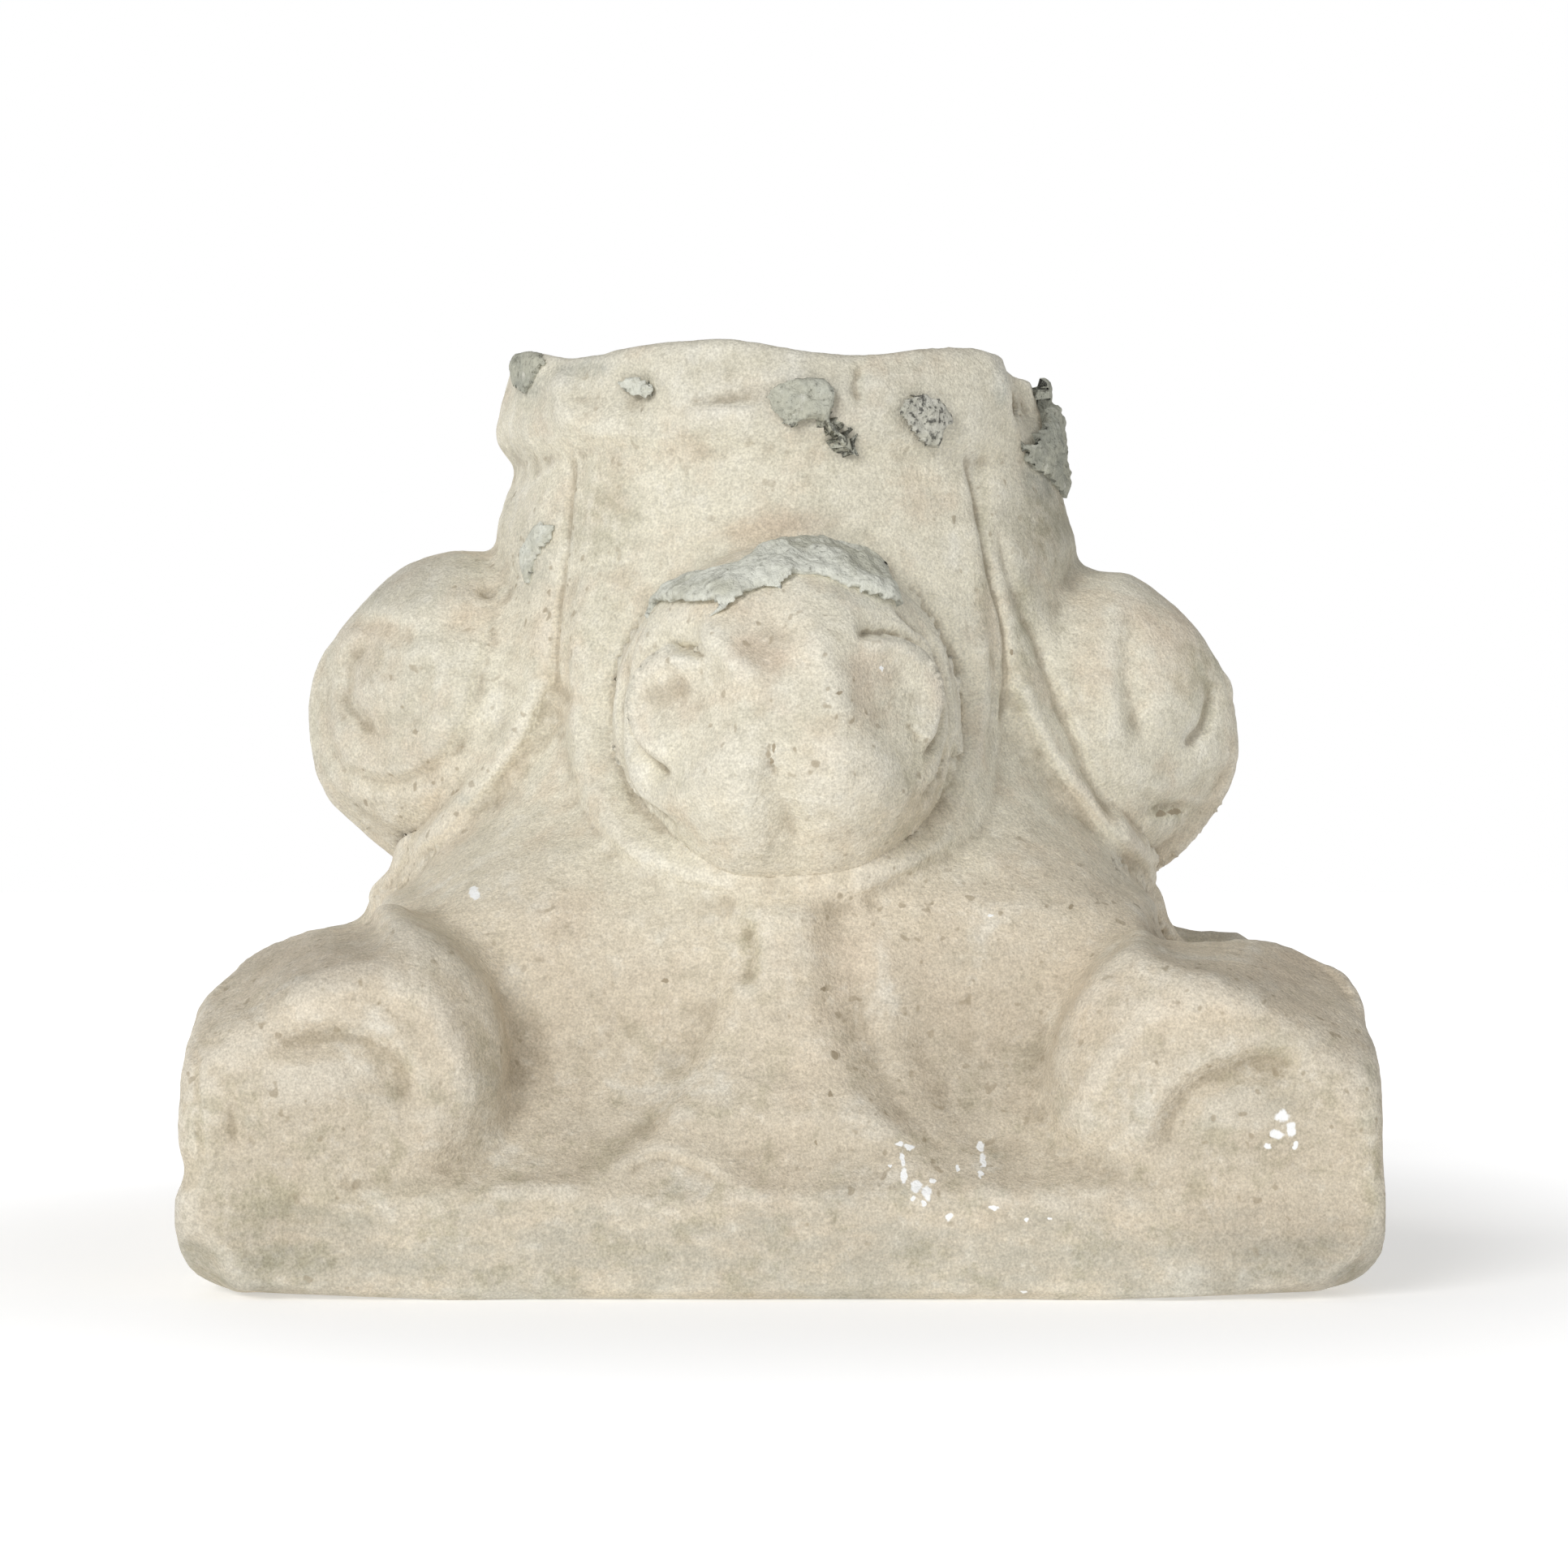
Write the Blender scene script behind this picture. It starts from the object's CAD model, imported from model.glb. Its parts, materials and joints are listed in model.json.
# %% [markdown]
# # A marble capital, upside down on its abacus
# The real object is one block of weathered cream marble: a square abacus, a bell with four broad
# leaves that curl into balls, a volute at each corner and a broken collar, with old mortar stuck to it.
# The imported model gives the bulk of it. This script dresses that model: it takes a finer copy of each
# solid, carves the small forms into the copy, and gives it the stone's colour and grain.

import json
import math

import bmesh
import bpy
import numpy as np
from mathutils import Matrix, Vector, noise

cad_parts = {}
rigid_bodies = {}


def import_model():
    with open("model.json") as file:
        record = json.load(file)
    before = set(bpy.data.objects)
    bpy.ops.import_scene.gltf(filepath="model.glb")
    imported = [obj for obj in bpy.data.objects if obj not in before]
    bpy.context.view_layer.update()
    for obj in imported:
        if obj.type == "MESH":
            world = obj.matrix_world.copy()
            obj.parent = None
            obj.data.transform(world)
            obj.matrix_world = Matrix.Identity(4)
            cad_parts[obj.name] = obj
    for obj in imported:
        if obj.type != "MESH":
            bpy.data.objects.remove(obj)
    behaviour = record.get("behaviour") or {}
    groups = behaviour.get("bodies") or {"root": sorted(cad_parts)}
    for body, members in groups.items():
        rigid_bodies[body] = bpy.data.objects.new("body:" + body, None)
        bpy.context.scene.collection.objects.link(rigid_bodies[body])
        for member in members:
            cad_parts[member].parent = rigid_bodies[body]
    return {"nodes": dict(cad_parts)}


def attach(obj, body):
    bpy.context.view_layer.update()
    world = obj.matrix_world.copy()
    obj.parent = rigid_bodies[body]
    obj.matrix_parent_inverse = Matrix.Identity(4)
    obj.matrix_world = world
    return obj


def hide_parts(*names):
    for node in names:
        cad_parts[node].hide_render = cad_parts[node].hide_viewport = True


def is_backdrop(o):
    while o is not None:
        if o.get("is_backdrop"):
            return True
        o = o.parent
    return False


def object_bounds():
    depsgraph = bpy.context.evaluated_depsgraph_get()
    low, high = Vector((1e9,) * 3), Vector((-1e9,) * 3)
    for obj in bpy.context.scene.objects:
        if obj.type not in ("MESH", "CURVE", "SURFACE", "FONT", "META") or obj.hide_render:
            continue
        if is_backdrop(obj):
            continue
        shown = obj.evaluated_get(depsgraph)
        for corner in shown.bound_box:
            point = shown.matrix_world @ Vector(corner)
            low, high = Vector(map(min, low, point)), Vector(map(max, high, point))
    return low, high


for thing in list(bpy.data.objects):
    bpy.data.objects.remove(thing, do_unlink=True)
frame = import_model()
cad_low, cad_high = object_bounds()
print("solids:", ", ".join(sorted(frame["nodes"])))
print("box of the solids in mm:", [round(1000 * (high - low), 1) for low, high in zip(cad_low, cad_high)])

# %% [markdown]
# ## Where the camera stands
# The picture was taken from straight in front, a little below the middle of the block, from some way
# off. Those few numbers turn a place in the picture into a place on the stone and back, so the carving
# below can be drawn as lines over the picture. One unit of the picture is a 1932nd part of its width.

# %% Camera
PICTURE = 1932
DISTANCE = 1.4
EYE_HEIGHT = 0.138
FOCAL = 5390
HORIZON = 1000
MIDDLE = 960

camera = bpy.data.cameras.new("camera")
camera.sensor_width = 36
camera.lens = camera.sensor_width * FOCAL / PICTURE
camera.shift_x = (PICTURE / 2 - MIDDLE) / PICTURE
camera.shift_y = (HORIZON - PICTURE / 2) / PICTURE
eye = bpy.data.objects.new("camera", camera)
eye.location = (0, -DISTANCE, EYE_HEIGHT)
eye.rotation_euler = (math.pi / 2, 0, 0)
bpy.context.scene.collection.objects.link(eye)
bpy.context.scene.camera = eye
print("lens in mm:", round(camera.lens, 1))

# %% [markdown]
# ## A finer copy of the block
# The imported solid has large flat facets. A voxel remesh rebuilds a copy of it as an even, fine grid of
# faces, like clay, and a few rounds of smoothing take the facets away. The copy is then fine enough
# to carve. Points are handled as one array, which is much quicker than one at a time.

# %% Copying and smoothing
CLAY = 0.0012
SOFTENING = 24


def merged_copy(node):
    """A copy of a solid's mesh with its loose triangles joined."""
    shape = bmesh.new()
    shape.from_mesh(frame["nodes"][node].data)
    bmesh.ops.remove_doubles(shape, verts=shape.verts[:], dist=0.00001)
    mesh = bpy.data.meshes.new(node + "_copy")
    shape.to_mesh(mesh)
    shape.free()
    return mesh


def remade(mesh, name, size, rounds):
    """The mesh after a voxel remesh and some smoothing."""
    thing = bpy.data.objects.new(name, mesh)
    bpy.context.scene.collection.objects.link(thing)
    clay = thing.modifiers.new("Clay", "REMESH")
    clay.mode = "VOXEL"
    clay.voxel_size = size
    soft = thing.modifiers.new("Soft", "SMOOTH")
    soft.factor = 0.5
    soft.iterations = rounds
    bpy.context.view_layer.update()
    graph = bpy.context.evaluated_depsgraph_get()
    made = bpy.data.meshes.new_from_object(thing.evaluated_get(graph))
    bpy.data.objects.remove(thing)
    made.name = name
    return made


def points_of(mesh):
    values = np.empty(3 * len(mesh.vertices))
    mesh.vertices.foreach_get("co", values)
    return values.reshape(-1, 3)


def normals_of(mesh):
    values = np.empty(3 * len(mesh.vertices))
    mesh.vertices.foreach_get("normal", values)
    return values.reshape(-1, 3)


def put_points(mesh, points):
    mesh.vertices.foreach_set("co", points.ravel())
    mesh.update()


stone = remade(merged_copy("marble_capital"), "marble_block", CLAY, SOFTENING)
print("points in the fine copy:", len(stone.vertices))

# %% [markdown]
# ## How a line is carved
# A carver draws a line on the stone and cuts along it. Here a line is a few places in the picture,
# joined by a smooth curve. Every point of the stone that this side's view can see is given its place in
# the picture, and then its distance to the line decides how far it moves in or out. The four sides of
# the block are turned to the front one after the other, so one drawing serves them all. What shows from
# the front is carved by the front drawing alone.

# %% Looking at one side
VIEW_CELL = 8
VIEW_DEPTH = 0.010


def smoothstep(low, high, values):
    share = np.clip((values - low) / (high - low), 0.0, 1.0)
    return share * share * (3.0 - 2.0 * share)


def turned(points, degrees):
    angle = math.radians(degrees)
    cosine, sine = math.cos(angle), math.sin(angle)
    x, y, z = points.T
    return np.stack((cosine * x - sine * y, sine * x + cosine * y, z), axis=1)


class Side:
    """One side of the block as the camera would see it: places in the picture and what is in sight."""

    def __init__(self, mesh, turn, owned=None):
        self.turn = turn
        self.points = turned(points_of(mesh), -turn)
        self.normals = turned(normals_of(mesh), -turn)
        away = DISTANCE + self.points[:, 1]
        scale = FOCAL / away
        across = MIDDLE + self.points[:, 0] * scale
        down = HORIZON - (self.points[:, 2] - EYE_HEIGHT) * scale
        self.place = np.stack((across, down), axis=1)
        towards = np.array((0.0, -DISTANCE, EYE_HEIGHT)) - self.points
        towards /= np.linalg.norm(towards, axis=1)[:, None]
        self.facing = np.einsum("ij,ij->i", towards, self.normals)
        cell = (self.place // VIEW_CELL).astype(int)
        cell -= cell.min(axis=0)
        key = cell[:, 0] * (cell[:, 1].max() + 1) + cell[:, 1]
        nearest = np.full(key.max() + 1, 9.0)
        np.minimum.at(nearest, key, self.points[:, 1])
        open_view = self.points[:, 1] < nearest[key] + VIEW_DEPTH
        self.sight = smoothstep(0.02, 0.22, self.facing) * open_view
        self.weight = self.sight if owned is None else self.sight * (1.0 - owned)


def four_sides(mesh):
    """The front first, then the other three, which leave alone what the front shows."""
    front = Side(mesh, 0)
    owned = front.sight
    return [front] + [Side(mesh, turn, owned) for turn in (90, 180, 270)]


print("sides of the block to look at: 4")

# %% [markdown]
# ## A curve through a few places
# A drawn line passes smoothly through its places. A spline does that from four places at a time, and
# needs no handles. Its short straight steps then make it easy to say how far a point is from the line,
# how far along it lies and on which side.

# %% Curves and the distance to them
def curve_through(places, steps=8):
    """A smooth curve through a few places."""
    places = np.array(places, float)
    padded = np.vstack((2 * places[0] - places[1], places, 2 * places[-1] - places[-2]))
    made = []
    for a, b, c, d in zip(padded, padded[1:], padded[2:], padded[3:]):
        for step in range(steps):
            t = step / steps
            made.append(0.5 * (2 * b + (c - a) * t + (2 * a - 5 * b + 4 * c - d) * t * t
                               + (3 * b - a - 3 * c + d) * t ** 3))
    made.append(places[-1])
    return np.array(made)


def measure_to_line(places, line):
    """Distance to the line, share of the way along it, and distance to its right (down the picture
    for a line that runs to the right)."""
    best = np.full(len(places), 1e9)
    along = np.zeros(len(places))
    right = np.zeros(len(places))
    lengths = np.linalg.norm(np.diff(line, axis=0), axis=1)
    starts = np.concatenate(([0.0], np.cumsum(lengths)))
    for first, second, length, start in zip(line, line[1:], lengths, starts):
        if length < 1e-9:
            continue
        step = (second - first) / length
        gap = places - first
        way = np.clip(gap @ step, 0.0, length)
        foot = gap - way[:, None] * step
        distance = np.hypot(foot[:, 0], foot[:, 1])
        closer = distance < best
        best[closer] = distance[closer]
        along[closer] = (start + way[closer]) / starts[-1]
        side = gap[:, 1] * step[0] - gap[:, 0] * step[1]
        right[closer] = np.copysign(distance[closer], side[closer])
    return best, along, right


print("steps in a curve through three places:", len(curve_through(((0, 0), (10, 5), (20, 0)))) - 1)

# %% [markdown]
# ## Cutting along a line
# A groove, a ridge or a step is a soft profile that fades with the distance to its line. A patch is a
# round swelling or hollow. Nothing moves yet: each helper gives an amount for every point, the amounts
# are added up, and one carving moves the points along their normals. Hidden sides get the same lines a
# little shifted, so that no two are alike.

# %% Grooves, ridges, steps and patches
def wobble(places, seed, amount):
    """Shift the places of a line a little, so that no two sides are alike."""
    made = []
    for index, (across, down) in enumerate(places):
        lean = noise.noise_vector(Vector((across / 90.0, down / 90.0, 7.3 * seed)))
        made.append((across + amount * lean.x, down + amount * lean.y))
    return made


def along_line(sides, places, width, depth, edge=False, ends=0.12, reach=None, swing=9.0):
    """How far each point moves for one line: a groove (depth below 0) or ridge, or with edge=True a
    step, higher on the line's right and lower on its left."""
    moved = np.zeros(len(sides[0].place))
    for side in sides:
        line = curve_through(places if side.turn == 0 else wobble(places, side.turn, swing))
        margin = 3 * (reach or width)
        near = np.all((side.place > line.min(axis=0) - margin) & (side.place < line.max(axis=0) + margin),
                      axis=1)
        near &= side.weight > 0
        if not near.any():
            continue
        distance, along, right = measure_to_line(side.place[near], line)
        taper = smoothstep(0.0, ends, along) * smoothstep(0.0, ends, 1.0 - along) if ends else 1.0
        if edge:
            shape = np.tanh(right / width) * np.exp(-((distance / reach) ** 2))
        else:
            shape = np.exp(-((distance / width) ** 2))
        moved[near] += depth * shape * taper * side.weight[near]
    return moved


def patch(sides, middle, radii, height, tilt=0.0, power=2.0, swing=9.0):
    """How far each point moves for a soft round swelling (height above 0) or hollow."""
    moved = np.zeros(len(sides[0].place))
    for side in sides:
        centre = middle if side.turn == 0 else wobble([middle], side.turn, swing)[0]
        gap = side.place - centre
        angle = math.radians(tilt)
        across = gap[:, 0] * math.cos(angle) + gap[:, 1] * math.sin(angle)
        down = gap[:, 1] * math.cos(angle) - gap[:, 0] * math.sin(angle)
        far = (across / radii[0]) ** 2 + (down / radii[1]) ** 2
        moved += height * np.exp(-(far ** (power / 2))) * side.weight
    return moved


def carve(mesh, amount):
    """Move every point along its normal by its amount."""
    put_points(mesh, points_of(mesh) + normals_of(mesh) * amount[:, None])


sides = four_sides(stone)
print("points in sight, side by side:", [int((side.weight > 0.5).sum()) for side in sides])

# %% [markdown]
# ## Calm faces before carving
# The bell and the faces of the volutes are broad quiet surfaces, but the copy still shows the facets of
# the solid there. Moving each point towards the average of its neighbours, many times over, takes them
# out. A mask keeps this to the places that need it, because smoothing also eats edges.

# %% Averaging over neighbours
def neighbours(mesh):
    """Both ends of every edge, and how many edges meet at each point."""
    pairs = np.empty(2 * len(mesh.edges), int)
    mesh.edges.foreach_get("vertices", pairs)
    first, second = pairs.reshape(-1, 2).T
    count = np.bincount(first, minlength=len(mesh.vertices)) + np.bincount(second,
                                                                           minlength=len(mesh.vertices))
    return first, second, count


def averaged(values, first, second, count):
    """Each point's value moved halfway to the average of its neighbours."""
    total = np.bincount(first, values[second], len(values)) + np.bincount(second, values[first], len(values))
    return 0.5 * values + 0.5 * total / count


def calmed(mesh, mask, rounds):
    """Smooth the mesh where the mask is above 0."""
    links = neighbours(mesh)
    start = points_of(mesh)
    smooth = start.copy()
    for _ in range(rounds):
        for axis in range(3):
            smooth[:, axis] = averaged(smooth[:, axis], *links)
        smooth = start + (smooth - start) * mask[:, None]
    put_points(mesh, smooth)


print("edges in the fine copy:", len(stone.edges))

# %% Calm the bell and the volutes
VOLUTE_PLACE = (0.1235, 0.062)
CALM_ROUNDS = 70

level = points_of(stone)[:, 2]
volute_mask = np.zeros(len(level))
for turn in (0, 90, 180, 270):
    x, y, z = turned(points_of(stone), -turn).T
    for hand in (-1, 1):
        gap = np.hypot(x - hand * VOLUTE_PLACE[0], z - VOLUTE_PLACE[1])
        volute_mask = np.maximum(volute_mask, smoothstep(0.036, 0.026, gap) * (y < -0.14))
bell_mask = smoothstep(0.042, 0.055, level) * smoothstep(0.25, 0.242, level)
bell_mask *= 0.55 + 0.45 * smoothstep(0.125, 0.105, level)
calmed(stone, np.maximum(volute_mask, bell_mask), CALM_ROUNDS)
print("points calmed:", int((np.maximum(volute_mask, bell_mask) > 0.5).sum()))

# %% [markdown]
# ## The balls of the crockets
# Each leaf curls over into a ball. On the real block the ball is clean and round, with a flat flank on
# either side where the curl shows its spiral. The points of the copy that belong to a ball are pushed
# onto that true shape first, so the carved lines start from a clean surface.

# %% Round balls with flat flanks
BALL = 0.052
BALL_LEVEL = 0.168
FLANK_SHARE = 0.88
FLANK_BLEND = 0.0025
BALL_SHIFTS = {0: (0.0021, -0.0021), 90: (0.0, -0.0026), 180: (0.0016, 0.0), 270: (0.0, 0.0010)}


def rounded_balls(mesh):
    """Push the points near each ball onto a true sphere with two flats, and calm the joint behind it."""
    points = points_of(mesh)
    joints = []
    for turn, (sideways, up) in BALL_SHIFTS.items():
        local = turned(points, -turn)
        belt = (np.abs(local[:, 0]) < 0.03) & (np.abs(local[:, 2] - BALL_LEVEL) < 0.02)
        out = -local[belt, 1].min() - BALL
        centre = np.array((sideways, -out, BALL_LEVEL + up))
        arm = local - centre
        length = np.linalg.norm(arm, axis=1)
        way = arm / length[:, None]
        target = np.full(len(arm), BALL)
        for hand in (-1, 1):
            flank = np.array((hand, -1.0, 0.1))
            flank /= np.linalg.norm(flank)
            reach = np.maximum(way @ flank, 0.05)
            flat = FLANK_SHARE * BALL / reach
            target = 0.5 * (target + flat - np.sqrt((target - flat) ** 2 + FLANK_BLEND ** 2))
        inside = target - length
        shrinking = smoothstep(0.008, 0.002, -inside) * smoothstep(0.1, -0.15, way[:, 1])
        near = np.where(inside > 0, smoothstep(0.0, -0.25, way[:, 1]), shrinking)
        near *= length < 0.075
        local = centre + way * (length + inside * near)[:, None]
        joint = smoothstep(0.010, 0.004, np.abs(length - BALL)) * smoothstep(-0.5, -0.2, way[:, 1])
        joint *= smoothstep(0.9, 0.6, way[:, 2])
        joints.append(joint * (1.0 if turn in (90, 270) else 0.0))
        points = turned(local, turn)
        print("ball at turn", turn, "stands out", round(1000 * (out + BALL), 1), "mm")
    put_points(mesh, points)
    calmed(mesh, np.max(joints, axis=0), 60)


rounded_balls(stone)

# %% [markdown]
# ## The outline
# The block's outline from the front is the surest thing to compare with. Its places in the picture are
# noted down once the left and once the right side, from the collar to the foot. Each part of the stone's
# edge then moves in or out until it meets that line, and what lies further in moves less.

# %% The outline in the picture
LEFT_OUTLINE = (
    (642, 432), (633, 451), (620, 490), (614, 528), (618, 552), (632, 572),
    (624, 612), (613, 650), (604, 676), (556, 679), (507, 692), (470, 720), (431, 760), (402, 802),
    (385, 842), (382, 885), (387, 930), (409, 975), (449, 1012), (488, 1040), (499, 1062), (480, 1085),
    (455, 1104), (444, 1131), (389, 1145), (330, 1166), (300, 1184), (276, 1214), (247, 1254), (231, 1290),
    (223, 1336), (219, 1400), (222, 1430), (227, 1444), (221, 1462), (215, 1500), (219, 1535), (232, 1562),
    (262, 1584), (300, 1595), (360, 1598), (430, 1600), (520, 1602), (620, 1603),
)
RIGHT_OUTLINE = ((1246, 452), (1283, 500), (1300, 556), (1308, 600), (1318, 640), (1328, 672), (1340, 699),
                 (1390, 707), (1436, 738), (1476, 772), (1504, 818), (1520, 870), (1521, 930), (1497, 980),
                 (1461, 1022), (1416, 1058), (1414, 1084), (1434, 1112), (1448, 1141), (1512, 1149),
                 (1583, 1165), (1628, 1192), (1664, 1229), (1686, 1269), (1698, 1305), (1703, 1356),
                 (1706, 1438), (1712, 1485), (1710, 1525), (1702, 1556), (1676, 1582), (1634, 1593),
                 (1570, 1597), (1480, 1600), (1380, 1602), (1260, 1603), )
TOP_OUTLINE = ((632, 470), (640, 436), (664, 434), (690, 441), (740, 436), (800, 424), (860, 418),
               (920, 420), (980, 431), (1050, 437), (1110, 433), (1170, 428), (1222, 435), (1246, 452),
               (1262, 478), )
print("places on the outline:", len(LEFT_OUTLINE) + len(RIGHT_OUTLINE) + len(TOP_OUTLINE))

# %% Fit the outline
REACH = 60
SPREAD = 15
BAND = 7


def fit_outline(mesh, places, hand, rounds=7):
    """Draw the edge of what the front shows onto a line in the picture. The stone's greatest reach is
    measured square to the line at each of its places, and the stone there follows in a smooth way."""
    line = curve_through(places, 3)
    run = np.gradient(line, axis=0)
    run /= np.linalg.norm(run, axis=1)[:, None]
    out = hand * np.stack((-run[:, 1], run[:, 0]), axis=1)
    low = line.min(axis=0) - 110
    high = line.max(axis=0) + 110
    for _ in range(rounds):
        points = points_of(mesh)
        scale = FOCAL / (DISTANCE + points[:, 1])
        place = np.stack((MIDDLE + points[:, 0] * scale, HORIZON - (points[:, 2] - EYE_HEIGHT) * scale),
                         axis=1)
        near = np.flatnonzero(np.all((place > low) & (place < high), axis=1))
        place = place[near]
        excess = np.zeros(len(line))
        for index in range(len(line)):
            gap = place - line[index]
            reach = gap @ out[index]
            close = (np.abs(gap @ run[index]) < BAND) & (np.abs(reach) < 70)
            if close.any():
                excess[index] = reach[close].max()
        soft = np.convolve(np.pad(excess, 2, mode="edge"), (0.1, 0.2, 0.4, 0.2, 0.1), mode="valid")
        held = smoothstep(0, 4, np.arange(len(line))) * smoothstep(0, 4, len(line) - 1 - np.arange(len(line)))
        push = out * (-soft * held)[:, None]
        top = np.zeros_like(place)
        bottom = np.full(len(place), 1e-9)
        least = np.full(len(place), 1e9)
        for index in range(len(line)):
            far = np.sum((place - line[index] - out[index] * soft[index]) ** 2, axis=1)
            weight = np.exp(-far / (2 * SPREAD ** 2))
            top += weight[:, None] * push[index]
            bottom += weight
            least = np.minimum(least, far)
        moved = top / bottom[:, None] * np.exp(-least / REACH ** 2)[:, None] / scale[near][:, None]
        points[near, 0] += moved[:, 0]
        points[near, 2] -= moved[:, 1]
        put_points(mesh, points)
    print("outline fitted, what is left in the picture:", round(excess.min(), 1), "to",
          round(excess.max(), 1))


fit_outline(stone, TOP_OUTLINE, -1, 3)
fit_outline(stone, LEFT_OUTLINE, 1)
fit_outline(stone, RIGHT_OUTLINE, -1)

# %% [markdown]
# ## Spirals on the balls
# From the front the curl of the leaf shows as a C on either flank of the ball, a crest beside each, a
# hollow between the crests and two lobes below. The Cs are crisp, so they are a groove and a step on the
# same line. The lobes and crests are soft, so they are patches and wide ridges.

# %% Lines of the front crocket
sides = four_sides(stone)
front = sides[:1]
moved = np.zeros(len(stone.vertices))
LEFT_COIL = ((874, 812), (836, 799), (811, 807), (788, 832), (778, 862), (780, 893), (791, 923), (811, 943),
             (833, 956))
RIGHT_COIL = ((1053, 786), (1083, 779), (1111, 786), (1139, 809), (1157, 842), (1162, 872), (1157, 903),
              (1146, 922), (1131, 930))
moved += along_line(sides, LEFT_COIL, width=7, depth=-0.0046, ends=0.12, swing=4)
moved += along_line(sides, LEFT_COIL, width=6, depth=-0.0036, edge=True, reach=30, ends=0.12, swing=4)
moved += along_line(sides, RIGHT_COIL, width=7, depth=-0.0042, ends=0.12, swing=4)
moved += along_line(sides, RIGHT_COIL, width=7, depth=0.0034, edge=True, reach=30, ends=0.12, swing=4)
BALL_LEFT = ((800, 752), (782, 775), (766, 808), (756, 849), (753, 890), (757, 931), (768, 963), (786, 988),
             (811, 1004), (846, 1022))
BALL_RIGHT = ((1096, 735), (1120, 755), (1146, 780), (1170, 818), (1183, 864), (1181, 910), (1160, 956),
              (1128, 994))
moved += along_line(sides, BALL_LEFT, width=6, depth=-0.0026, ends=0.12, swing=3)
moved += along_line(sides, BALL_LEFT, width=6, depth=-0.0012, edge=True, reach=26, ends=0.12, swing=3)
moved += along_line(sides, BALL_RIGHT, width=6, depth=-0.0026, ends=0.12, swing=3)
moved += along_line(sides, BALL_RIGHT, width=6, depth=0.0014, edge=True, reach=26, ends=0.12, swing=3)
moved += patch(sides, (1084, 893), radii=(18, 36), height=-0.0008, tilt=-15, swing=4)
moved += patch(sides, (832, 846), radii=(34, 30), height=-0.0016, swing=4)
moved += patch(sides, (824, 908), radii=(30, 26), height=0.0020, swing=4)
moved += along_line(sides, ((852, 766), (881, 790), (907, 815), (938, 848)), width=17, depth=0.0026,
                    ends=0.25, swing=4)
moved += along_line(sides, ((1003, 761), (1013, 807), (1031, 857), (1040, 900)), width=20, depth=0.0018,
                    ends=0.25, swing=4)
moved += patch(sides, (952, 786), radii=(34, 46), height=-0.0028, tilt=-12, power=3, swing=4)
moved += patch(sides, (900, 985), radii=(58, 80), height=0.0046, power=3, swing=4)
moved += patch(sides, (1056, 975), radii=(64, 86), height=0.0046, power=3, swing=4)
moved += patch(sides, (966, 1066), radii=(112, 36), height=0.0050, swing=4)
moved += along_line(sides, ((947, 905), (952, 963), (972, 1018), (990, 1075)), width=19, depth=-0.0026,
                    ends=0.35, swing=4)
moved += along_line(front, ((952, 912), (947, 924), (945, 938), (952, 948), (955, 960)), width=3.5,
                    depth=-0.0012, ends=0.2)
carve(stone, moved)
print("crocket lines in mm:", round(1000 * moved.min(), 2), "to", round(1000 * moved.max(), 2))

# %% [markdown]
# ## The crockets seen from the side
# The balls on the left and right turn their flank to the picture, and there the whole spiral shows: an
# outer ring, an inner turn and a soft eye. They are drawn as lines of their own, since the places of the
# front ball's lines say nothing about them.

# %% Flanks of the crockets
sides = four_sides(stone)
front = sides[:1]
moved = np.zeros(len(stone.vertices))
moved += along_line(sides, ((408, 785), (396, 830), (393, 870), (394, 897), (401, 923), (416, 947),
                            (446, 962), (486, 966), (522, 954), (547, 938), (564, 913), (577, 882)),
                    width=12, depth=-0.0024, ends=0.2, swing=4)
moved += along_line(sides, ((470, 790), (445, 798), (428, 818), (424, 850), (431, 874), (446, 893),
                            (463, 903), (474, 886)), width=11, depth=-0.0022, ends=0.25, swing=4)
moved += patch(sides, (466, 850), radii=(28, 30), height=0.0024, swing=4)
moved += patch(sides, (500, 830), radii=(46, 56), height=0.0016, power=3, swing=4)
moved += along_line(sides, ((428, 777), (455, 768), (490, 778), (520, 802)), width=14, depth=-0.0016,
                    ends=0.25, swing=4)
moved += along_line(sides, ((516, 798), (527, 834), (518, 874), (501, 912)), width=14, depth=-0.0012,
                    ends=0.25, swing=4)
moved += along_line(sides, ((607, 731), (607, 771), (600, 807), (592, 842), (582, 882), (572, 913),
                            (557, 943)), width=12, depth=-0.0012, swing=4)
moved += patch(front, (601, 729), radii=(10, 7), height=-0.0022)
moved += patch(front, (578, 770), radii=(22, 20), height=-0.0012)
moved += along_line(sides, ((1402, 741), (1392, 807), (1394, 842), (1402, 893), (1420, 925)), width=14,
                    depth=-0.0018, ends=0.25, swing=4)
moved += patch(sides, (1444, 850), radii=(40, 60), height=0.0030, power=3, swing=4)
moved += along_line(sides, ((1494, 835), (1491, 872), (1485, 893), (1473, 908), (1456, 926)), width=9,
                    depth=-0.0030, ends=0.25, swing=4)
moved += along_line(sides, ((1496, 830), (1511, 880), (1509, 930), (1484, 984)), width=10, depth=-0.0010,
                    ends=0.2, swing=4)
moved += along_line(sides, ((1402, 965), (1422, 988), (1452, 984), (1483, 968), (1503, 943)), width=12,
                    depth=-0.0018, ends=0.25, swing=4)
moved += patch(front, (1443, 1000), radii=(24, 8), height=-0.0036, tilt=-8)
carve(stone, moved)
print("flank lines carved")

# %% [markdown]
# ## The leaves
# A leaf is a shallow plane laid on the bell, with a crisp edge where it ends. Where two leaves meet, one
# shows a narrow raised rim. The edge is a thin groove with a small step beside it.

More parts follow.
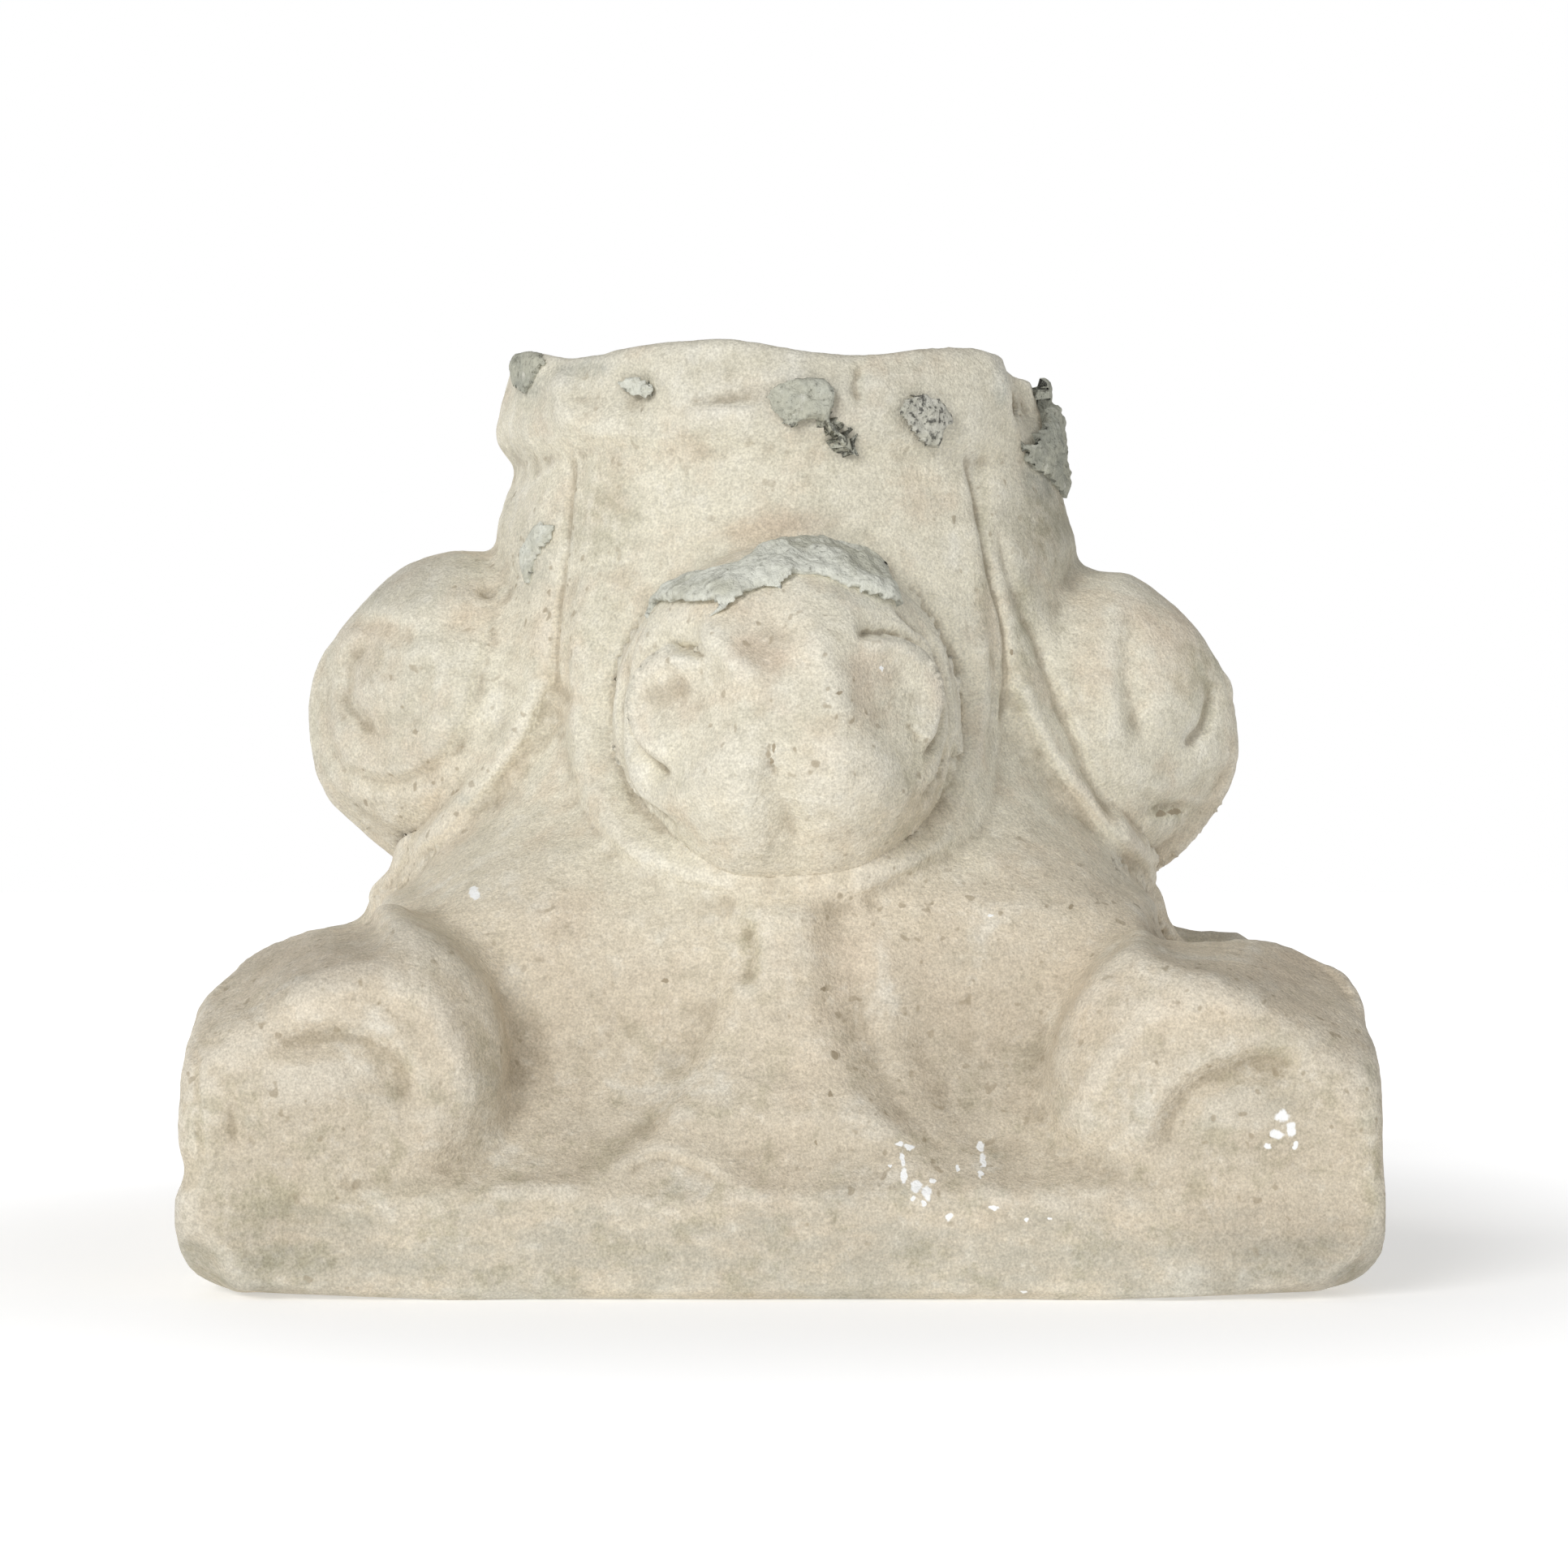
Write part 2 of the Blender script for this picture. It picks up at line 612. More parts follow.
# %% Lines of the leaves
sides = four_sides(stone)
moved = np.zeros(len(stone.vertices))
LEAF_LEFT = ((706, 556), (703, 614), (697, 686), (690, 747), (686, 808), (688, 860), (695, 900), (704, 940),
             (717, 985), (742, 1024), (778, 1058), (838, 1082), (915, 1101))
LEAF_RIGHT = ((1189, 552), (1200, 604), (1211, 665), (1222, 716), (1235, 766), (1239, 802), (1238, 852),
              (1232, 900), (1226, 951), (1213, 1002), (1180, 1038), (1129, 1068), (1052, 1107))
moved += along_line(sides, LEAF_LEFT[:6], width=4.5, depth=-0.0013, ends=0.1)
moved += along_line(sides, LEAF_LEFT[:6], width=4, depth=-0.0005, edge=True, reach=22, ends=0.1)
moved += along_line(sides, LEAF_RIGHT[:8], width=4.5, depth=-0.0020, ends=0.1)
moved += along_line(sides, LEAF_RIGHT[:8], width=4, depth=0.0006, edge=True, reach=22, ends=0.1)
moved += along_line(sides, LEAF_LEFT[5:], width=6, depth=-0.0009, edge=True, reach=34, ends=0.06)
moved += along_line(sides, LEAF_RIGHT[6:], width=6, depth=0.0009, edge=True, reach=34, ends=0.06)
SIDE_LEAF_LEFT = ((684, 828), (673, 850), (658, 882), (643, 918), (617, 953), (592, 983), (557, 1024),
                  (505, 1056))
moved += along_line(sides, SIDE_LEAF_LEFT, width=5, depth=0.0015, edge=True, reach=34, ends=0.1)
moved += patch(sides, (668, 905), radii=(14, 60), height=-0.0010, tilt=28)
SIDE_LEAF_RIGHT = ((1238, 832), (1256, 857), (1281, 908), (1301, 943), (1331, 983), (1362, 1024),
                   (1402, 1059), (1420, 1080))
moved += along_line(sides, SIDE_LEAF_RIGHT, width=5, depth=-0.0017, edge=True, reach=34, ends=0.1)
RIM_RIGHT = ((1228, 640), (1243, 690), (1258, 735), (1276, 781), (1292, 827), (1316, 893), (1341, 953),
             (1367, 1004), (1376, 1036))
moved += along_line(sides, RIM_RIGHT, width=8, depth=-0.0022, ends=0.12)
moved += along_line(sides, RIM_RIGHT, width=7, depth=-0.0006, edge=True, reach=26, ends=0.12)
carve(stone, moved)
print("leaf lines: deepest", round(1000 * moved.min(), 2), "mm")

# %% [markdown]
# ## The bell below the leaves
# Between two volutes the bell narrows to a plain boss with a channel on either side, and the bands of the
# volutes meet the abacus in low lips. All of this is worn soft, so the profiles are wide and shallow.

# %% Channels, boss and the lips of the bands
sides = four_sides(stone)
front = sides[:1]
moved = np.zeros(len(stone.vertices))
moved += patch(sides, (740, 1290), radii=(90, 105), height=-0.0016, tilt=20)
moved += patch(sides, (1180, 1275), radii=(80, 105), height=-0.0020, tilt=-20)
moved += along_line(sides, ((912, 1128), (918, 1160), (919, 1190), (914, 1220)), width=15, depth=-0.0026,
                    ends=0.25)
moved += along_line(sides, ((926, 1186), (909, 1230), (889, 1275), (868, 1318), (840, 1362), (806, 1400)),
                    width=20, depth=0.0010, ends=0.2)
moved += along_line(sides, ((1080, 1130), (1092, 1220), (1103, 1295), (1129, 1356), (1164, 1402),
                            (1205, 1440), (1256, 1473)), width=20, depth=0.0014, ends=0.15)
LIP_LEFT = ((568, 1480), (634, 1466), (700, 1464), (752, 1444), (812, 1416), (853, 1427), (899, 1452),
            (932, 1472), (980, 1478))
moved += along_line(sides, LIP_LEFT, width=17, depth=0.0013, ends=0.15)
moved += along_line(sides, ((1070, 1452), (1120, 1440), (1165, 1450), (1210, 1470), (1272, 1484),
                            (1350, 1486)), width=18, depth=0.0009, ends=0.2)
moved += patch(sides, (822, 1464), radii=(56, 20), height=-0.0010)
moved += along_line(front, ((765, 1453), (817, 1428), (895, 1458)), width=6, depth=-0.0010, ends=0.2)
carve(stone, moved)
print("leaf and bell lines carved")

# %% [markdown]
# ## The volutes
# At each corner a band rolls up into a scroll on both faces. Wear has left a broad roll, a groove inside
# it and a soft bump for the eye.

# %% Lines of the volutes
sides = four_sides(stone)
front = sides[:1]
moved = np.zeros(len(stone.vertices))
moved += along_line(sides, ((326, 1296), (373, 1279), (419, 1277), (460, 1290), (488, 1318), (500, 1350),
                            (488, 1384)), width=20, depth=-0.0020, ends=0.2)
moved += along_line(sides, ((326, 1286), (373, 1269), (419, 1267), (464, 1280), (496, 1312), (508, 1350),
                            (494, 1390)), width=10, depth=-0.0016, edge=True, reach=50, ends=0.25)
moved += patch(sides, (395, 1335), radii=(58, 34), height=0.0022)
moved += along_line(sides, ((320, 1240), (400, 1222), (470, 1215), (525, 1240), (556, 1286), (570, 1340),
                            (540, 1390)), width=26, depth=0.0022, ends=0.2)
moved += along_line(sides, ((1613, 1312), (1570, 1310), (1527, 1317), (1481, 1337), (1450, 1368),
                            (1430, 1404), (1405, 1424)), width=20, depth=-0.0022, ends=0.2)
moved += along_line(sides, ((1613, 1300), (1570, 1298), (1522, 1306), (1474, 1327), (1442, 1360),
                            (1420, 1400), (1398, 1424)), width=10, depth=0.0016, edge=True, reach=50,
                    ends=0.25)
moved += patch(sides, (1540, 1365), radii=(65, 34), height=0.0016)
moved += along_line(sides, ((1580, 1262), (1500, 1240), (1430, 1254), (1385, 1292), (1352, 1340),
                            (1335, 1396), (1360, 1430)), width=26, depth=0.0024, ends=0.2)
moved += patch(front, (286, 1385), radii=(12, 26), height=-0.0016)
moved += along_line(front, ((242, 1285), (242, 1340), (246, 1400), (252, 1440)), width=5, depth=-0.0008)
carve(stone, moved)
print("volute lines carved")

# %% [markdown]
# ## The broken collar
# The collar met the shaft of the column. Its rim is broken into slanting faces, with a fine horizontal
# break across the front.

# %% Breaks of the collar
sides = four_sides(stone)
front = sides[:1]
moved = np.zeros(len(stone.vertices))
moved += along_line(front, ((838, 499), (880, 500), (938, 497)), width=5, depth=0.0014, edge=True, reach=26,
                    ends=0.2)
moved += patch(front, (770, 492), radii=(70, 34), height=-0.0034, tilt=8, power=3)
moved += patch(front, (890, 462), radii=(52, 30), height=-0.0018, power=3)
moved += along_line(front, ((1062, 440), (1056, 470), (1062, 505)), width=7, depth=-0.0016, ends=0.3)
moved += along_line(front, ((690, 452), (692, 490), (706, 534)), width=12, depth=0.0022, ends=0.3)
moved += along_line(front, ((1225, 440), (1240, 490), (1261, 538)), width=9, depth=0.0018, ends=0.3)
moved += along_line(sides, ((640, 570), (706, 546), (760, 538), (860, 548), (960, 545), (1080, 552),
                            (1190, 556), (1258, 548)), width=14, depth=-0.0008, edge=True, reach=42,
                    ends=0.06)
carve(stone, moved)
print("collar carved")

# %% [markdown]
# ## Weather
# Rain and handling have worn the block: its surface is uneven in the large, finely pitted, and its
# edges have lost small crumbs. Noise at several sizes stands for that. The beds stay flat.

# %% Worn lower corners
BED_WEAR = ((0.0, 0.0), (0.090, 0.0), (0.120, 0.0010), (0.138, 0.0016), (0.152, 0.0026), (0.161, 0.0050),
            (0.172, 0.0100))


def worn_bed(mesh):
    """Lift the lower edge near the corners, where the real block has lost its arris."""
    points = points_of(mesh)
    ways, lifts = np.array(BED_WEAR).T
    for turn in (0, 90, 180, 270):
        local = turned(points, -turn)
        lift = np.interp(np.abs(local[:, 0]), ways, lifts) * smoothstep(-0.150, -0.168, local[:, 1])
        local[:, 2] += lift * np.exp(-local[:, 2] / (0.0002 + 1.6 * lift))
        points = turned(local, turn)
    put_points(mesh, points)


worn_bed(stone)
print("lower corners lifted by up to", round(1000 * BED_WEAR[-1][1]), "mm")

# %% Wear
WAVES = ((55.0, 0.00050), (150.0, 0.00030), (420.0, 0.00013))


def weathered(mesh):
    """How far wear moves each point, from noise of three sizes. The bed stays flat."""
    points = points_of(mesh)
    rough = np.empty(len(points))
    for index, place in enumerate(points):
        at = Vector(place)
        rough[index] = sum(depth * noise.noise(at * scale) for scale, depth in WAVES)
    return rough * smoothstep(0.0, 0.004, points[:, 2])


wear = weathered(stone)
carve(stone, wear)
print("wear from", round(1000 * wear.min(), 2), "to", round(1000 * wear.max(), 2), "mm")

# %% [markdown]
# ## Down to a size that others can use
# The fine grid is only needed while carving. Collapsing the edges that matter least brings the block
# under two hundred thousand triangles. The back goes first and the front after it, each to a number of
# its own, because what the picture shows needs the finer mesh.

# %% Lighter mesh
TRIANGLES = 192000
BACK_TRIANGLES = 72000
FRONT_FACING = -0.15


def triangles_in(mesh):
    return len(mesh.loops) - 2 * len(mesh.polygons)


def lighter(mesh, name, triangles, chosen):
    """Fewer triangles among the chosen points. The other points all stay."""
    thing = bpy.data.objects.new(name, mesh)
    bpy.context.scene.collection.objects.link(thing)
    group = thing.vertex_groups.new(name="chosen")
    group.add(np.flatnonzero(chosen).tolist(), 1.0, "REPLACE")
    fewer = thing.modifiers.new("Fewer", "DECIMATE")
    fewer.ratio = triangles / triangles_in(mesh)
    fewer.vertex_group = group.name
    fewer.use_collapse_triangulate = True
    bpy.context.view_layer.update()
    graph = bpy.context.evaluated_depsgraph_get()
    made = bpy.data.meshes.new_from_object(thing.evaluated_get(graph))
    bpy.data.objects.remove(thing)
    made.name = name
    return made


put_points(stone, np.clip(points_of(stone), np.array(cad_low), np.array(cad_high)))
in_front = Side(stone, 0).facing > FRONT_FACING
front_triangles = round(triangles_in(stone) * float(in_front.mean()))
print("fine copy:", triangles_in(stone), "triangles,", front_triangles, "of them in front")
half_done = lighter(stone, "half_done", front_triangles + BACK_TRIANGLES, ~in_front)
block_mesh = lighter(half_done, "block", TRIANGLES, Side(half_done, 0).facing > FRONT_FACING)
put_points(block_mesh, np.clip(points_of(block_mesh), np.array(cad_low), np.array(cad_high)))
block_mesh.materials.clear()
block = bpy.data.objects.new("marble_block", block_mesh)
bpy.context.scene.collection.objects.link(block)
block_mesh.shade_smooth()
kept = int((Side(block_mesh, 0).sight > 0.5).sum())
print("block triangles:", len(block_mesh.polygons), "points:", len(block_mesh.vertices), "in front:", kept)

# %% [markdown]
# ## Where dirt gathers
# Dirt stays in hollows and edges are rubbed pale. Comparing each point with the average of what lies
# round it says how hollow its place is. That number is stored on the mesh for the finish to read.

# %% Hollows and edges
def hollows(mesh, rounds):
    """How far each point lies under the smoothed surface round it, in metres."""
    points = points_of(mesh)
    normals = normals_of(mesh)
    links = neighbours(mesh)
    smooth = points.copy()
    for _ in range(rounds):
        for axis in range(3):
            smooth[:, axis] = averaged(smooth[:, axis], *links)
    return np.einsum("ij,ij->i", smooth - points, normals)


def store(mesh, name, values):
    layer = mesh.attributes.new(name, "FLOAT", "POINT")
    layer.data.foreach_set("value", values.astype(np.float32))


near = hollows(block_mesh, 8)
wide = hollows(block_mesh, 36)
store(block_mesh, "hollow", np.clip(near / 0.0005 * 0.75 + wide / 0.0030 * 0.25, -1, 1))
print("hollows stored, spread", round(float(np.std(near) * 1000), 3), "mm")

# %% [markdown]
# ## The finish of the marble
# The stone is cream where it is clean, beige to brown lower down and in the hollows, and pale where it
# is rubbed. Close to, it shows crystals a millimetre across. Every pattern reads the block's own
# coordinates in metres, so it runs through the stone as real veining does.

# %% A finish and its noise
def new_finish(name):
    """A new material, its node tree and its shader."""
    material = bpy.data.materials.new(name)
    material.use_nodes = True
    return material, material.node_tree, material.node_tree.nodes["Principled BSDF"]


def noise_at(tree, scale, detail=3.0, rough=0.55, distort=0.0, stretch=None):
    """Noise on the block's own coordinates."""
    where = tree.nodes.new("ShaderNodeTexCoord").outputs["Object"]
    if stretch:
        mapping = tree.nodes.new("ShaderNodeMapping")
        mapping.inputs["Scale"].default_value = stretch
        tree.links.new(where, mapping.inputs["Vector"])
        where = mapping.outputs["Vector"]
    made = tree.nodes.new("ShaderNodeTexNoise")
    made.inputs["Scale"].default_value = scale
    made.inputs["Detail"].default_value = detail
    made.inputs["Roughness"].default_value = rough
    made.inputs["Distortion"].default_value = distort
    tree.links.new(where, made.inputs["Vector"])
    return made.outputs["Fac"]


print("helpers for patterns: new_finish, noise_at")

# %% Numbers in a finish
def remap(tree, value, low, high, to_low=0.0, to_high=1.0):
    """A pattern's values from low to high, spread softly over a new range."""
    node = tree.nodes.new("ShaderNodeMapRange")
    node.interpolation_type = "SMOOTHSTEP"
    node.inputs["From Min"].default_value = low
    node.inputs["From Max"].default_value = high
    node.inputs["To Min"].default_value = to_low
    node.inputs["To Max"].default_value = to_high
    tree.links.new(value, node.inputs["Value"])
    return node.outputs["Result"]


def sums(tree, kind, first, second):
    """One step of arithmetic on patterns or plain numbers."""
    node = tree.nodes.new("ShaderNodeMath")
    node.operation = kind
    for socket, value in zip(node.inputs, (first, second)):
        if isinstance(value, (int, float)):
            socket.default_value = value
        else:
            tree.links.new(value, socket)
    return node.outputs["Value"]


def attribute(tree, name):
    """A number stored on the mesh, read by the finish."""
    node = tree.nodes.new("ShaderNodeAttribute")
    node.attribute_name = name
    return node.outputs["Fac"]


print("helpers for numbers: remap, sums, attribute")

# %% Colours in a finish
def tinted(tree, below, colour, amount):
    """Lay a colour over what is below it, where amount says."""
    node = tree.nodes.new("ShaderNodeMix")
    node.data_type = "RGBA"
    tree.links.new(amount, node.inputs["Factor"])
    if isinstance(below, tuple):
        node.inputs[6].default_value = (*below, 1.0)
    else:
        tree.links.new(below, node.inputs[6])
    if isinstance(colour, tuple):
        node.inputs[7].default_value = (*colour, 1.0)
    else:
        tree.links.new(colour, node.inputs[7])
    return node.outputs[2]


def toned(tree, colour, value, low, high, darkest, lightest):
    """Make a colour darker or lighter by a pattern."""
    span = tree.nodes.new("ShaderNodeMapRange")
    span.inputs["From Min"].default_value = low
    span.inputs["From Max"].default_value = high
    span.inputs["To Min"].default_value = darkest
    span.inputs["To Max"].default_value = lightest
    tree.links.new(value, span.inputs["Value"])
    node = tree.nodes.new("ShaderNodeMix")
    node.data_type = "RGBA"
    node.blend_type = "MULTIPLY"
    node.inputs["Factor"].default_value = 1.0
    tree.links.new(colour, node.inputs[6])
    tree.links.new(span.outputs["Result"], node.inputs[7])
    return node.outputs[2]


print("helpers for colours: tinted, toned")

# %% Patches and bumps in a finish
def ragged_place(tree, scale, reach):
    """The block's own coordinates, shaken a little, for patches with ragged edges."""
    where = tree.nodes.new("ShaderNodeTexCoord").outputs["Object"]
    stray = tree.nodes.new("ShaderNodeTexNoise")
    stray.inputs["Scale"].default_value = scale
    stray.inputs["Detail"].default_value = 2.0
    tree.links.new(where, stray.inputs["Vector"])
    lean = tree.nodes.new("ShaderNodeVectorMath")
    lean.operation = "MULTIPLY_ADD"
    lean.inputs[1].default_value = (reach, reach, reach)
    tree.links.new(stray.outputs["Color"], lean.inputs[0])
    shift = tree.nodes.new("ShaderNodeVectorMath")
    shift.operation = "SUBTRACT"
    shift.inputs[1].default_value = (reach / 2, reach / 2, reach / 2)
    tree.links.new(where, shift.inputs[0])
    tree.links.new(shift.outputs["Vector"], lean.inputs[2])
    return lean.outputs["Vector"]


def spot(tree, place, centre, radii, edge=0.2):
    """1 inside a small patch of the surface and 0 outside, from its middle and its half sizes."""
    gap = tree.nodes.new("ShaderNodeVectorMath")
    gap.operation = "SUBTRACT"
    gap.inputs[1].default_value = centre
    tree.links.new(place, gap.inputs[0])
    sized = tree.nodes.new("ShaderNodeVectorMath")
    sized.operation = "DIVIDE"
    sized.inputs[1].default_value = radii
    tree.links.new(gap.outputs["Vector"], sized.inputs[0])
    length = tree.nodes.new("ShaderNodeVectorMath")
    length.operation = "LENGTH"
    tree.links.new(sized.outputs["Vector"], length.inputs[0])
    return remap(tree, length.outputs["Value"], 1.0 + edge, 1.0 - edge)


def bumped(tree, height, distance, strength, before=None):
    """Small relief from a pattern, on top of the relief before it."""
    node = tree.nodes.new("ShaderNodeBump")
    node.inputs["Distance"].default_value = distance
    node.inputs["Strength"].default_value = strength
    tree.links.new(height, node.inputs["Height"])
    if before is not None:
        tree.links.new(before, node.inputs["Normal"])
    return node.outputs["Normal"]


print("helpers for patches: ragged_place, spot, bumped")

# %% [markdown]
# ## Stains
# Each stain of the real block has its place: beige on the upper faces, rose in the hollow of the ball, a
# film of grey where mortar was, olive where it stays damp, and shade where the stone is plainly darker. A
# few soft patches in the picture say how strong each is, and their strength is stored on the points. The
# finish then breaks them up with noise, so no patch shows its drawn edge.

# %% Where the stains are
ON_FRONT = Side(block_mesh, 0)
STAINS = {
    "shade": ((1530, 1390, 130, 90, 0.32), (400, 1390, 140, 90, 0.25), (740, 660, 70, 130, 0.22),
              (640, 640, 30, 110, 0.30), (400, 850, 60, 110, 0.2), (300, 1540, 150, 70, 0.40),
              (1610, 1540, 170, 70, 0.75), (470, 715, 120, 50, 0.85), (470, 860, 110, 130, 0.50),
              (900, 470, 350, 80, 0.50), (960, 600, 300, 70, 0.18),
              (1290, 640, 60, 110, 0.75), (390, 1180, 110, 40, 0.55), (740, 1290, 120, 130, 0.28),
              (1190, 1280, 120, 130, 0.65),
              (1600, 1190, 110, 40, 0.15), (860, 1540, 260, 60, 0.12), (620, 1300, 30, 90, 0.2)),
    "beige": ((572, 765, 26, 26, 0.9), (480, 700, 60, 24, 0.8), (455, 775, 40, 16, 0.6),
              (395, 1180, 80, 30, 0.8), (1590, 1190, 90, 34, 0.9),
              (1440, 765, 56, 44, 0.9), (1345, 820, 26, 90, 0.5), (430, 1240, 90, 26, 0.45),
              (925, 655, 60, 14, 0.8), (1500, 1240, 90, 30, 0.5),
              (720, 1200, 110, 80, 0.35), (1180, 1220, 110, 90, 0.55), (1330, 1230, 30, 90, 0.8),
              (610, 1250, 24, 80, 0.7),
              (1560, 1500, 150, 40, 0.4), (1000, 1330, 60, 60, 0.3), (880, 750, 60, 20, 0.4),
              (990, 690, 60, 12, 0.5)),
    "rose": ((952, 786, 50, 52, 0.4), (1075, 822, 40, 36, 0.3), (830, 845, 44, 44, 0.3),
             (880, 506, 60, 14, 0.3), (930, 480, 50, 20, 0.35),
             (1150, 860, 16, 50, 0.3), (792, 880, 12, 44, 0.5), (985, 640, 60, 14, 0.4),
             (1060, 1200, 40, 90, 0.25)),
    "olive": ((1500, 640, 50, 120, 0.3), (745, 640, 44, 70, 0.40), (735, 760, 40, 60, 0.2),
              (1262, 770, 14, 110, 0.5), (1290, 640, 40, 60, 0.45),
              (1212, 690, 10, 100, 0.35), (1480, 830, 30, 50, 0.5), (1440, 1001, 30, 12, 0.6),
              (1560, 1320, 60, 60, 0.25), (290, 1560, 120, 30, 0.35),
              (250, 1420, 30, 80, 0.25), (1140, 960, 40, 60, 0.25), (925, 1160, 16, 44, 0.6),
              (1130, 1040, 50, 40, 0.25), (600, 1310, 20, 60, 0.3), (360, 1480, 120, 30, 0.3),
              (1690, 1420, 14, 120, 0.4), (480, 1470, 200, 20, 0.2)),
    "smear": ((732, 450, 22, 14, 0.8), (700, 455, 20, 12, 0.5), (655, 470, 22, 26, 0.6),
              (785, 478, 26, 14, 0.3), (1040, 545, 22, 22, 0.5),
              (1234, 475, 9, 26, 0.9), (990, 495, 60, 34, 0.35), (1140, 520, 44, 34, 0.25),
              (660, 690, 22, 44, 0.4), (1062, 480, 10, 26, 0.4),
              (1285, 590, 26, 26, 0.6), (900, 720, 60, 16, 0.4), (1060, 730, 40, 20, 0.5),
              (574, 985, 10, 7, 0.5)),
}


def stained(places):
    """How strongly each point of the block is stained, from middles and half sizes in the picture."""
    amount = np.zeros(len(ON_FRONT.points))
    for across, down, wide, high, strength in places:
        gap = ((ON_FRONT.place[:, 0] - across) / wide) ** 2 + ((ON_FRONT.place[:, 1] - down) / high) ** 2
        amount = np.maximum(amount, strength * np.exp(-gap ** 1.5) * smoothstep(-0.1, 0.15, ON_FRONT.facing))
    return amount


for kind, places in STAINS.items():
    store(block_mesh, kind, stained(places))
print("stains:", {kind: len(places) for kind, places in STAINS.items()})


# %% A place in the picture, found on the stone
def on_surface(across, down):
    """The place on the stone that the front shows at a place in the picture."""
    gap = np.abs(ON_FRONT.place - (across, down)).max(axis=1)
    near = np.flatnonzero((gap < 14) & (ON_FRONT.facing > 0))
    near = near[ON_FRONT.points[near, 1] < ON_FRONT.points[near, 1].min() + 0.01]
    depth = float(np.median(ON_FRONT.points[near, 1]))
    scale = FOCAL / (DISTANCE + depth)
    return ((across - MIDDLE) / scale, depth, EYE_HEIGHT + (HORIZON - down) / scale)


print("middle of the front ball:", [round(part, 3) for part in on_surface(965, 900)])

# %% [markdown]
# ## The marble's colours
# Measured by eye against the picture, and given as linear values. Cream and beige are the stone itself.
# The rest lies on it as dirt, film, bloom and drops of paint. Specks and pits are a few exact small marks
# that the eye looks for, each with its place and half sizes in the picture.

# %% Colours, specks and pits
CREAM = (0.685, 0.645, 0.525)
BEIGE = (0.62, 0.53, 0.405)
GREY = (0.50, 0.48, 0.40)
DIRT = (0.30, 0.245, 0.165)
PALE = (0.80, 0.78, 0.70)
OLIVE = (0.33, 0.31, 0.20)
ROSE = (0.585, 0.465, 0.36)
FILM = (0.40, 0.41, 0.36)
PAINT = (0.90, 0.91, 0.91)
UNIT = 0.00024
SPECKS = (
    (583, 1098, 5, 7), (587, 1104, 4, 5), (1208, 1412, 4, 6), (1211, 1430, 4, 9), (1209, 1447, 3, 4),
    (1108, 1410, 5, 3), (1121, 1413, 7, 3),
    (1112, 1428, 3, 9), (1114, 1448, 4, 8), (1130, 1462, 7, 7), (1143, 1470, 6, 7), (1150, 1455, 3, 3),
    (1137, 1482, 4, 3), (1125, 1476, 3, 3),
    (1169, 1499, 5, 4), (1223, 1489, 5, 3), (1266, 1504, 3, 3), (1292, 1502, 3, 2), (1580, 1375, 8, 7),
    (1590, 1392, 6, 8), (1572, 1398, 8, 6),
    (1562, 1412, 5, 4), (1596, 1410, 3, 4), (1086, 824, 3, 3), (1220, 1128, 4, 3), (1262, 1592, 4, 2),
    (1180, 1440, 2, 3), (1096, 1436, 2, 2),
)
PITS = ((1029, 1300, 5, 6), (1024, 1348, 3, 3), (1014, 1218, 3, 3), (820, 1210, 3, 3), (1006, 1408, 2, 3),
        (1320, 1118, 3, 3), (1448, 1000, 14, 4), (1430, 1003, 8, 4), (953, 922, 2, 6), (950, 938, 2, 5),
        (1034, 853, 5, 2), (1246, 803, 3, 4))


print("specks and pits:", len(SPECKS), len(PITS))

